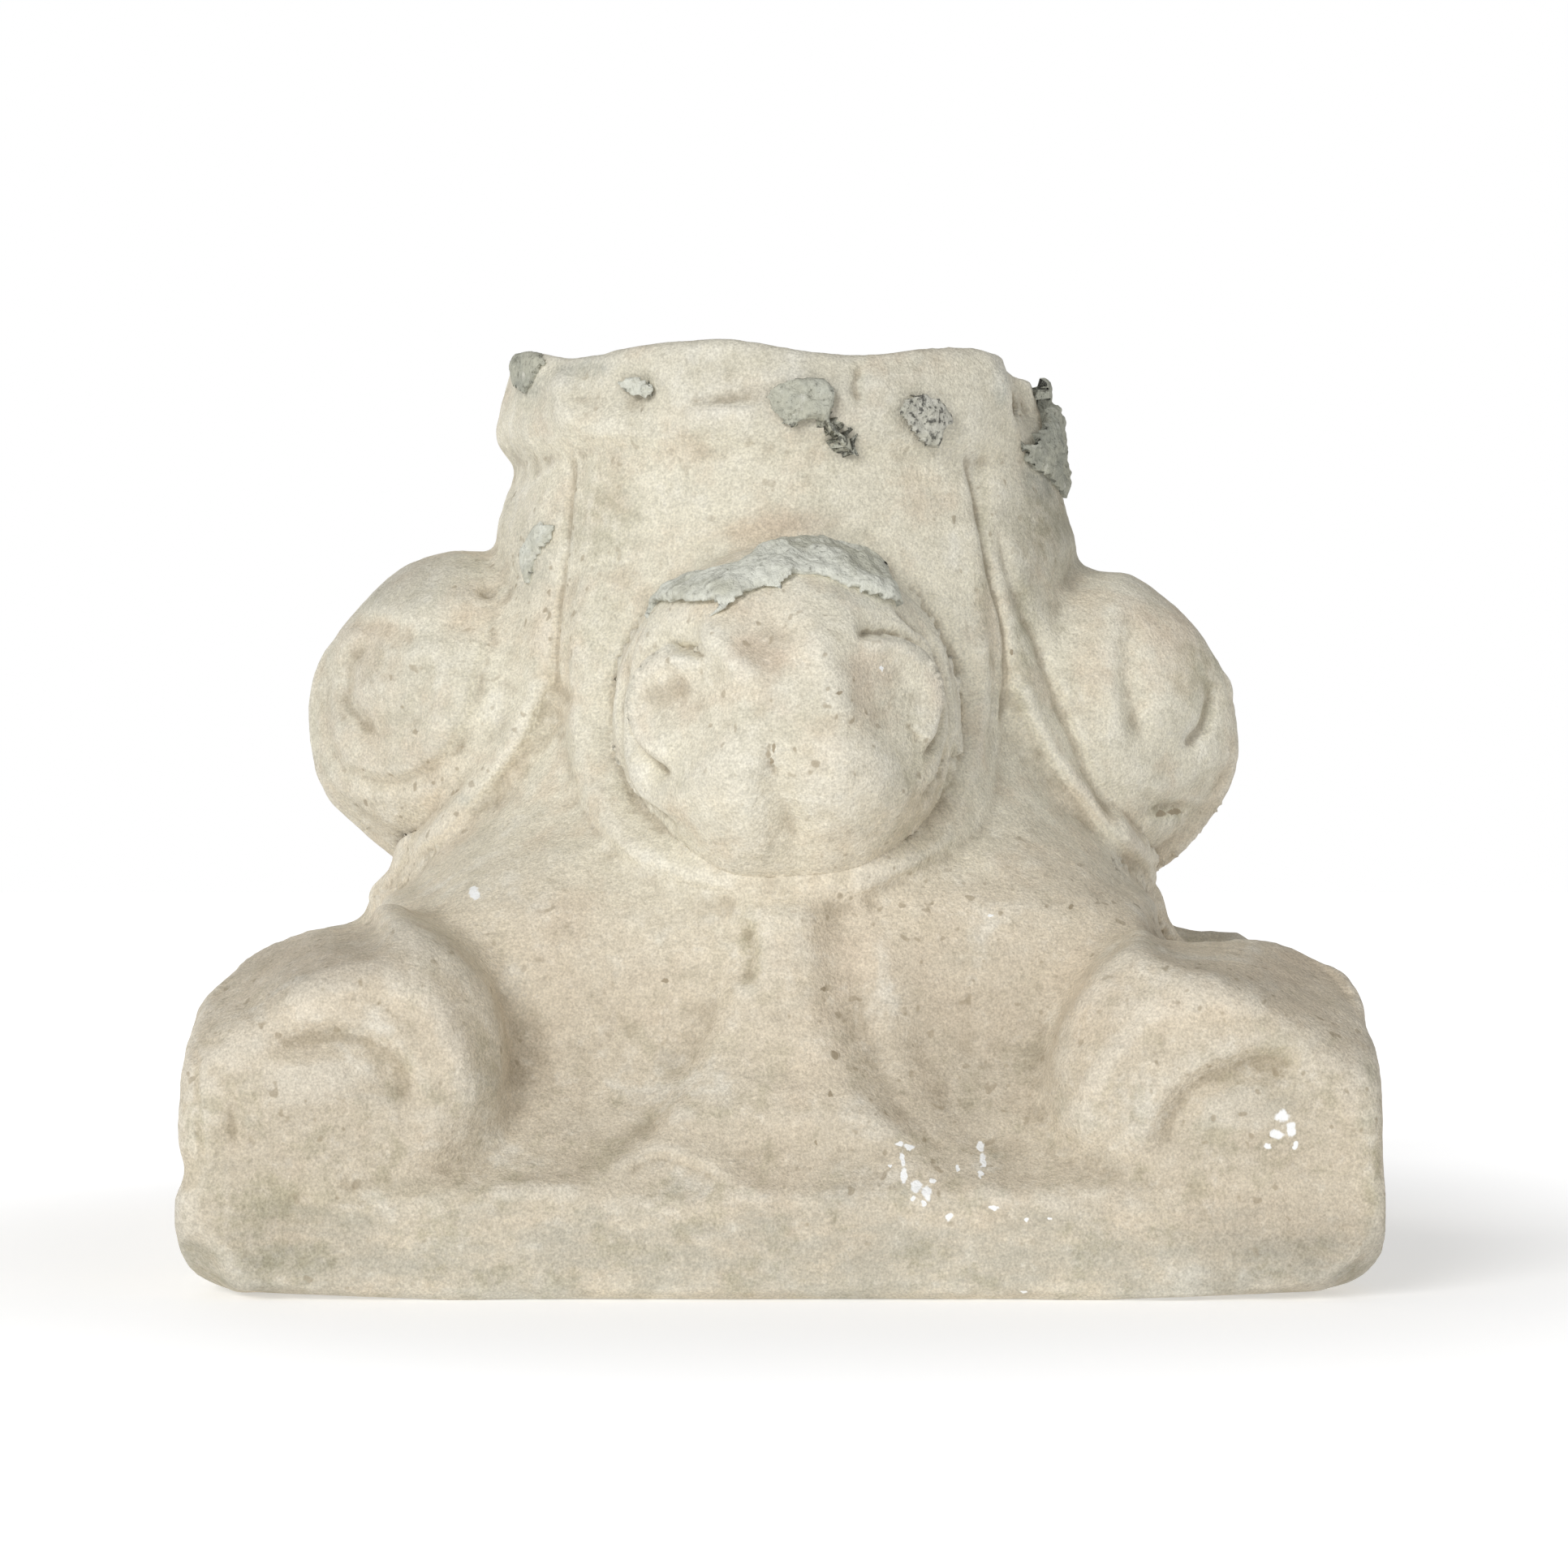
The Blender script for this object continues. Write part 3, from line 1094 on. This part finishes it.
# %% The marble
def marble_finish():
    """Colour from broad to fine: zones, stains, dirt in hollows, grain, then specks. Roughness and bumps."""
    material, tree, shader = new_finish("weathered_marble")
    where = tree.nodes.new("ShaderNodeTexCoord").outputs["Object"]
    split = tree.nodes.new("ShaderNodeSeparateXYZ")
    tree.links.new(where, split.inputs["Vector"])
    height = split.outputs["Z"]
    hollow = attribute(tree, "hollow")

    broad = noise_at(tree, 9.0, 3.0, 0.6)
    patches = noise_at(tree, 40.0, 4.0, 0.62)
    streaks = noise_at(tree, 46.0, 4.0, 0.65, stretch=(1.0, 1.0, 3.0))
    mottle = noise_at(tree, 170.0, 4.0, 0.7)
    crystals = noise_at(tree, 850.0, 2.0, 0.6)
    sand = noise_at(tree, 1500.0, 1.0, 0.5)

    uneven = sums(tree, "MULTIPLY", sums(tree, "SUBTRACT", broad, 0.5), 1.8)
    lower = sums(tree, "ADD", remap(tree, height, 0.185, 0.060), uneven)
    colour = tinted(tree, CREAM, BEIGE, remap(tree, lower, 0.0, 1.0, 0.0, 0.70))
    colour = tinted(tree, colour, BEIGE, remap(tree, patches, 0.48, 0.66, 0.0, 0.55))
    colour = tinted(tree, colour, PALE, remap(tree, patches, 0.44, 0.28, 0.0, 0.45))
    streaky = sums(tree, "MULTIPLY", sums(tree, "SUBTRACT", streaks, 0.5), 2.6)
    foot = sums(tree, "ADD", remap(tree, height, 0.046, 0.010), streaky)
    colour = tinted(tree, colour, GREY, remap(tree, foot, 0.3, 1.4, 0.0, 0.6))
    across = sums(tree, "ABSOLUTE", split.outputs["X"], 0.0)
    depth = sums(tree, "ABSOLUTE", split.outputs["Y"], 0.0)
    outer = remap(tree, sums(tree, "MAXIMUM", across, depth), 0.125, 0.160)
    colour = toned(tree, colour, outer, 0.0, 1.0, 1.0, 0.90)
    grime = remap(tree, noise_at(tree, 85.0, 5.0, 0.72), 0.50, 0.66)
    grime = sums(tree, "MULTIPLY", grime, remap(tree, height, 0.110, 0.040, 0.12, 0.34))
    colour = tinted(tree, colour, OLIVE, grime)
    cloud = remap(tree, patches, 0.34, 0.60, 0.3, 1.0)
    for kind, tint in (("beige", BEIGE), ("rose", ROSE), ("olive", OLIVE), ("smear", FILM)):
        spread = remap(tree, mottle, 0.36, 0.60, 0.35, 1.0) if kind in ("olive", "smear") else cloud
        colour = tinted(tree, colour, tint, sums(tree, "MULTIPLY", attribute(tree, kind), spread))
    colour = tinted(tree, colour, DIRT, remap(tree, hollow, 0.10, 1.0, 0.0, 0.52))
    colour = tinted(tree, colour, PALE, remap(tree, hollow, -0.12, -0.9, 0.0, 0.24))
    colour = tinted(tree, colour, DIRT, remap(tree, mottle, 0.56, 0.80, 0.0, 0.20))
    colour = tinted(tree, colour, PALE, remap(tree, mottle, 0.46, 0.24, 0.0, 0.24))
    colour = toned(tree, colour, attribute(tree, "shade"), 0.0, 1.0, 1.0, 0.72)
    colour = toned(tree, colour, streaks, 0.30, 0.70, 1.06, 0.94)
    colour = toned(tree, colour, mottle, 0.30, 0.70, 1.03, 0.97)
    colour = toned(tree, colour, crystals, 0.30, 0.70, 0.90, 1.10)
    colour = toned(tree, colour, sand, 0.30, 0.70, 0.86, 1.14)
    flecks = remap(tree, noise_at(tree, 260.0, 1.0, 0.5), 0.66, 0.74)
    flecks = sums(tree, "MULTIPLY", flecks, remap(tree, broad, 0.42, 0.60))
    colour = tinted(tree, colour, DIRT, sums(tree, "MULTIPLY", flecks, 0.6))
    shaken = ragged_place(tree, 380.0, 0.0026)
    for side_way, down, wide, high in PITS:
        pit = spot(tree, shaken, on_surface(side_way, down), (wide * UNIT, 0.006, high * UNIT))
        colour = tinted(tree, colour, DIRT, sums(tree, "MULTIPLY", pit, 0.85))
    for side_way, down, wide, high in SPECKS:
        drop = spot(tree, shaken, on_surface(side_way, down), (wide * UNIT, 0.006, high * UNIT))
        colour = tinted(tree, colour, PAINT, sums(tree, "MULTIPLY", drop, 0.9))
    tree.links.new(colour, shader.inputs["Base Color"])
    tree.links.new(remap(tree, mottle, 0.3, 0.7, 0.66, 0.90), shader.inputs["Roughness"])
    shader.inputs["Specular IOR Level"].default_value = 0.3

    facets = bumped(tree, crystals, 0.0005, 0.7)
    pits = bumped(tree, noise_at(tree, 300.0, 3.0, 0.65), 0.0009, 0.5, facets)
    rasp = bumped(tree, noise_at(tree, 90.0, 2.0, 0.6, stretch=(1.0, 1.0, 2.2)), 0.0010, 0.5, pits)
    tree.links.new(rasp, shader.inputs["Normal"])
    return material


block_mesh.materials.append(marble_finish())
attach(block, "root")
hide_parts("marble_capital")
print("marble finished")

# %% [markdown]
# ## The mortar
# The lumps are what is left of the bed the block was once set in: grey lime with sand in it, broken
# rough. Mortar takes the shape of what it sticks to, so each lump starts as a piece of the stone's own
# surface, cut out along the lump's outline. It is raised to the lump's thickness, roughened and given a
# back that sinks into the stone.

# %% Surface that carries mortar
SKIN_LEVEL = 0.175
skin = bmesh.new()
skin.from_mesh(stone)
skin_view = Side(stone, 0)
shown = (skin_view.facing > -0.05) & (skin_view.points[:, 1] < 0.05) & (skin_view.points[:, 2] > SKIN_LEVEL)
for vert in skin.verts:
    vert.tag = bool(shown[vert.index])
bmesh.ops.delete(skin, geom=[vert for vert in skin.verts if not vert.tag], context="VERTS")
print("faces that can carry mortar:", len(skin.faces))

# %% [markdown]
# ## The lumps one by one
# Each lump is drawn as an outline in the picture, with its thickness and roughness in metres. The slab on
# the right hangs over the edge of the collar, so a few soft pulls draw it outwards.

# %% Outlines of the lumps
LUMPS = {
    "mortar_collar_right": (((1253, 446), (1279, 453), (1302, 492), (1322, 548), (1326, 585), (1317, 626),
                             (1296, 600), (1263, 576), (1255, 552),
                             (1272, 534), (1276, 497)), 0.0034, 0.0026),
    "mortar_collar_middle": (((936, 489), (950, 478), (971, 465), (1018, 466), (1034, 483), (1029, 503),
                              (1024, 514), (1040, 524), (1054, 546),
                              (1072, 576), (1046, 562), (1026, 544), (1008, 519), (995, 521), (971, 532),
                              (955, 518), (943, 500)), 0.0036, 0.0022),
    "mortar_collar_dark": (((1104, 495), (1125, 482), (1152, 486), (1170, 508), (1174, 524), (1160, 530),
                            (1151, 552), (1131, 550), (1113, 531),
                            (1096, 507)), 0.0044, 0.0024),
    "mortar_collar_left": (((628, 452), (636, 434), (651, 428), (676, 441), (670, 466), (662, 476),
                            (648, 492), (634, 478)), 0.0022, 0.0016),
    "mortar_collar_knob": (((758, 472), (776, 460), (794, 456), (813, 472), (808, 495), (788, 498),
                            (772, 487)), 0.0040, 0.0016),
    "mortar_crocket": (((776, 780), (800, 740), (841, 714), (878, 704), (911, 695), (939, 678), (985, 666),
                        (1040, 670), (1082, 687), (1103, 729),
                        (1111, 750), (1092, 748), (1055, 731), (1015, 715), (985, 713), (954, 727),
                        (936, 730), (899, 754), (896, 770),
                        (882, 752), (829, 748), (806, 752)), 0.0034, 0.0018),
    "mortar_leaf": (((640, 676), (650, 659), (668, 638), (688, 646), (680, 670), (660, 690), (662, 706),
                     (651, 733), (644, 711), (639, 692)),
                    0.0018, 0.0012),
}


PULLS = {"mortar_collar_right_crust": ((1262, 472, 40, 0.0036), (1290, 508, 30, 0.0016))}


print("lumps:", len(LUMPS))

# %% Cutting a sheet to its outline
def inside_outline(places, outline):
    """Which places lie inside a closed outline."""
    inside = np.zeros(len(places), bool)
    x, y = places.T
    for (x1, y1), (x2, y2) in zip(outline, outline[1:] + outline[:1]):
        crosses = (y1 > y) != (y2 > y)
        with np.errstate(divide="ignore", invalid="ignore"):
            inside ^= crosses & (x < (x2 - x1) * (y - y1) / (y2 - y1) + x1)
    return inside


def to_outline(places, outline):
    """How far each place is from a closed outline."""
    return measure_to_line(places, np.array(outline + outline[:1], float))[0]


def drop_small_parts(shape):
    """Keep only the largest connected sheet, without faces that hang on by one corner."""
    loose = [vert for vert in shape.verts if len(vert.link_faces) < 2]
    bmesh.ops.delete(shape, geom=loose, context="VERTS")
    waiting = set(shape.verts)
    largest = []
    while waiting:
        part = [waiting.pop()]
        for vert in part:
            for edge in vert.link_edges:
                other = edge.other_vert(vert)
                if other in waiting:
                    waiting.discard(other)
                    part.append(other)
        if len(part) > len(largest):
            largest = part
    keep = set(largest)
    bmesh.ops.delete(shape, geom=[vert for vert in shape.verts if vert not in keep], context="VERTS")


print("helpers for a sheet: inside_outline, to_outline, drop_small_parts")

# %% [markdown]
# ## From sheet to lump
# The sheet is refined and smoothed. Then it rises along its calmed normals, less near its edge, with noise
# on top. Solidify gives it a body, and the back of that body lies hidden in the stone.

# %% A sheet raised to a lump
RIGHT_BACK = 0.0100
OTHER_BACK = 0.0030
LEAST_RISE = 0.0003
CRUMBS = ((85.0, 1.0), (190.0, 0.7), (480.0, 0.35))


def grown(name, outline, thickness, rough):
    """A lump of mortar on the stone's surface, inside an outline in the picture."""
    shape = skin.copy()
    mesh = bpy.data.meshes.new(name)
    shape.to_mesh(mesh)
    place = Side(mesh, 0).place
    shape.verts.ensure_lookup_table()
    stray = np.array([noise.noise(vert.co * 240.0) for vert in shape.verts])
    keep = inside_outline(place + 4.0 * stray[:, None], outline)
    bmesh.ops.delete(shape, geom=[vert for vert in shape.verts if not keep[vert.index]], context="VERTS")
    drop_small_parts(shape)
    bmesh.ops.subdivide_edges(shape, edges=shape.edges[:], cuts=1, use_grid_fill=True)
    for step in range(14):
        soft = shape.verts[:] if step < 4 else [vert for vert in shape.verts if not vert.is_boundary]
        bmesh.ops.smooth_vert(shape, verts=soft, factor=0.5, use_axis_x=True, use_axis_y=True,
                              use_axis_z=True)
    bmesh.ops.recalc_face_normals(shape, faces=shape.faces[:])
    shape.to_mesh(mesh)
    shape.free()
    view = Side(mesh, 0)
    normals = normals_of(mesh)
    if view.facing.mean() < 0:
        mesh.flip_normals()
        normals = -normals
    links = neighbours(mesh)
    for _ in range(16):
        normals = np.stack([averaged(normals[:, axis], *links) for axis in range(3)], axis=1)
    normals /= np.linalg.norm(normals, axis=1)[:, None]
    rise = thickness * smoothstep(-4.0, 9.0, to_outline(view.place, outline))
    crumbs = np.array([sum(share * noise.noise(Vector(point) * scale) for scale, share in CRUMBS)
                       for point in points_of(mesh)])
    rise += rough * crumbs * smoothstep(-4.0, 14.0, to_outline(view.place, outline))
    put_points(mesh, points_of(mesh) + normals * np.maximum(rise, LEAST_RISE)[:, None])
    thing = bpy.data.objects.new(name, mesh)
    bpy.context.scene.collection.objects.link(thing)
    back = thing.modifiers.new("Back", "SOLIDIFY")
    back.thickness = thickness + (RIGHT_BACK if name.startswith("mortar_collar_right") else OTHER_BACK)
    back.offset = -1.0
    bpy.context.view_layer.update()
    made = bpy.data.meshes.new_from_object(thing.evaluated_get(bpy.context.evaluated_depsgraph_get()))
    bpy.data.objects.remove(thing)
    made.name = name
    view = Side(made, 0)
    points = points_of(made)
    for across, down, radius, outwards in PULLS.get(name, ()):
        gap = np.hypot(view.place[:, 0] - across, view.place[:, 1] - down) / radius
        points[:, 0] += outwards * np.exp(-gap ** 2)
    put_points(made, points)
    sandy = np.zeros(len(made.vertices))
    if name.startswith("mortar_collar_middle"):
        sandy = smoothstep(508, 526, Side(made, 0).place[:, 1])
    store(made, "sandy", sandy)
    return made


print("helper for a lump: grown")

# %% [markdown]
# ## The finish of the mortar
# Old mortar is lime with sand. The lime is pale grey and the sand shows as dark grains, many where the
# face is broken and few where it is whole. One recipe with other colours serves all the lumps.

# %% Mortar
GREY_LIME = (0.46, 0.455, 0.37)
PALE_LIME = (0.68, 0.67, 0.60)
BLACK_SAND = (0.07, 0.07, 0.06)


def mortar_finish(name, light, dark, share):
    """Lime with sand of a second colour. A higher share means fewer grains."""
    material, tree, shader = new_finish(name)
    patchy = noise_at(tree, 60.0, 4.0, 0.6)
    colour = tinted(tree, light, GREY_LIME, remap(tree, patchy, 0.38, 0.62, 0.0, 0.8))
    sand = noise_at(tree, 620.0, 3.0, 0.6)
    middling = noise_at(tree, 200.0, 4.0, 0.65)
    colour = tinted(tree, colour, dark, remap(tree, sand, share, share + 0.14, 0.0, 0.8))
    colour = tinted(tree, colour, dark, remap(tree, middling, 0.56, 0.74, 0.0, 0.6))
    colour = tinted(tree, colour, PALE_LIME, remap(tree, middling, 0.44, 0.28, 0.0, 0.6))
    colour = toned(tree, colour, sand, 0.30, 0.70, 1.12, 0.86)
    black = sums(tree, "MULTIPLY", remap(tree, sand, 0.48, 0.60), attribute(tree, "sandy"))
    colour = tinted(tree, colour, BLACK_SAND, sums(tree, "MULTIPLY", black, 0.8))
    tree.links.new(colour, shader.inputs["Base Color"])
    shader.inputs["Roughness"].default_value = 0.93
    shader.inputs["Specular IOR Level"].default_value = 0.2
    grain = bumped(tree, sand, 0.0008, 0.9)
    tree.links.new(bumped(tree, middling, 0.0020, 0.8, grain), shader.inputs["Normal"])
    return material


FINISHES = {
    "pale": mortar_finish("pale_mortar", (0.65, 0.655, 0.58), (0.27, 0.27, 0.225), 0.62),
    "broken": mortar_finish("broken_mortar", (0.46, 0.465, 0.40), (0.22, 0.22, 0.18), 0.58),
    "grey": mortar_finish("grey_mortar", (0.36, 0.365, 0.31), (0.15, 0.15, 0.12), 0.58),
    "sandy": mortar_finish("sandy_mortar", (0.50, 0.49, 0.43), (0.05, 0.05, 0.045), 0.50),
}
KINDS = {"mortar_crocket": "pale", "mortar_leaf": "pale", "mortar_collar_dark": "sandy",
         "mortar_collar_middle": "broken", "mortar_collar_knob": "pale"}
print("kinds of mortar:", sorted(FINISHES))

# %% All the lumps
for node in sorted(name for name in frame["nodes"] if name.startswith("mortar")):
    outline, thickness, rough = LUMPS[node]
    lump_mesh = grown(node + "_crust", outline, thickness, rough)
    put_points(lump_mesh, np.clip(points_of(lump_mesh), np.array(cad_low), np.array(cad_high)))
    lump_mesh.materials.clear()
    lump_mesh.materials.append(FINISHES[KINDS.get(node, "grey")])
    lump_mesh.shade_smooth()
    lump = bpy.data.objects.new(node + "_crust", lump_mesh)
    bpy.context.scene.collection.objects.link(lump)
    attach(lump, "root")
    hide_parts(node)
    print(node, "faces:", len(lump_mesh.polygons))
skin.free()

# %% [markdown]
# ## The floor
# The block stands on a plain white sheet. Paper under studio light comes out nearly white, and a little
# darker close to the block, so the sheet glows faintly and glows less near the middle.

# %% Floor
NEAR_GLOW = 0.365
FAR_GLOW = 0.60

floor_shape = bmesh.new()
bmesh.ops.create_grid(floor_shape, x_segments=1, y_segments=1, size=6.0)
floor_mesh = bpy.data.meshes.new("floor")
floor_shape.to_mesh(floor_mesh)
floor_shape.free()
floor = bpy.data.objects.new("floor", floor_mesh)
bpy.context.scene.collection.objects.link(floor)
paper, tree, shader = new_finish("paper")
shader.inputs["Base Color"].default_value = (0.88, 0.88, 0.88, 1.0)
shader.inputs["Roughness"].default_value = 0.9
shader.inputs["Specular IOR Level"].default_value = 0.0
shader.inputs["Emission Color"].default_value = (1, 1, 1, 1)
where = tree.nodes.new("ShaderNodeTexCoord").outputs["Object"]
away = tree.nodes.new("ShaderNodeVectorMath")
away.operation = "LENGTH"
tree.links.new(where, away.inputs[0])
tree.links.new(remap(tree, away.outputs["Value"], 0.20, 0.46, NEAR_GLOW, FAR_GLOW),
               shader.inputs["Emission Strength"])
floor_mesh.materials.append(paper)
floor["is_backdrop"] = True
print("floor laid")

# %% [markdown]
# ## Light
# Soft light comes from the front, a little from above and the left. Broad suns give soft shadows and the
# same strength everywhere, so the floor stays even. A weaker one from behind keeps the back readable.
# What the camera sees of the world is plain white, while the block gets a third of that from it.

# %% Lamps
for name, towards, strength, angle in (
    ("key", (0.56, 1.0, -0.42), 1.86, 30),
    ("fill", (-0.6, 1.0, -0.08), 0.42, 60),
    ("back", (0.3, -1.0, -0.10), 1.2, 50),
):
    lamp = bpy.data.lights.new(name, "SUN")
    lamp.energy = strength
    lamp.angle = math.radians(angle)
    light = bpy.data.objects.new(name, lamp)
    light.rotation_euler = Vector(towards).to_track_quat("-Z", "Y").to_euler()
    bpy.context.scene.collection.objects.link(light)
print("lamps:", sorted(lamp.name for lamp in bpy.data.lights))

# %% World
SKY_STRENGTH = 0.33

world = bpy.data.worlds.new("studio")
world.use_nodes = True
sky = world.node_tree
glow = sky.nodes["Background"]
glow.inputs["Color"].default_value = (1, 1, 1, 1)
glow.inputs["Strength"].default_value = SKY_STRENGTH
white = sky.nodes.new("ShaderNodeBackground")
white.inputs["Color"].default_value = (1, 1, 1, 1)
white.inputs["Strength"].default_value = 1.0
seen = sky.nodes.new("ShaderNodeLightPath")
choose = sky.nodes.new("ShaderNodeMixShader")
sky.links.new(seen.outputs["Is Camera Ray"], choose.inputs["Fac"])
sky.links.new(glow.outputs["Background"], choose.inputs[1])
sky.links.new(white.outputs["Background"], choose.inputs[2])
sky.links.new(choose.outputs["Shader"], sky.nodes["World Output"].inputs["Surface"])
bpy.context.scene.world = world
bpy.context.scene.view_settings.view_transform = "Standard"
print("world strength for the block:", SKY_STRENGTH)

# %% [markdown]
# ## Does it still fit?
# The dressed block stays inside the box of the solids, because others place it by those.

# %% Check and finish
seen_low, seen_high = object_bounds()
seen_size = [round(1000 * (high - low), 1) for low, high in zip(seen_low, seen_high)]
print("box of the dressed model in mm:", seen_size)
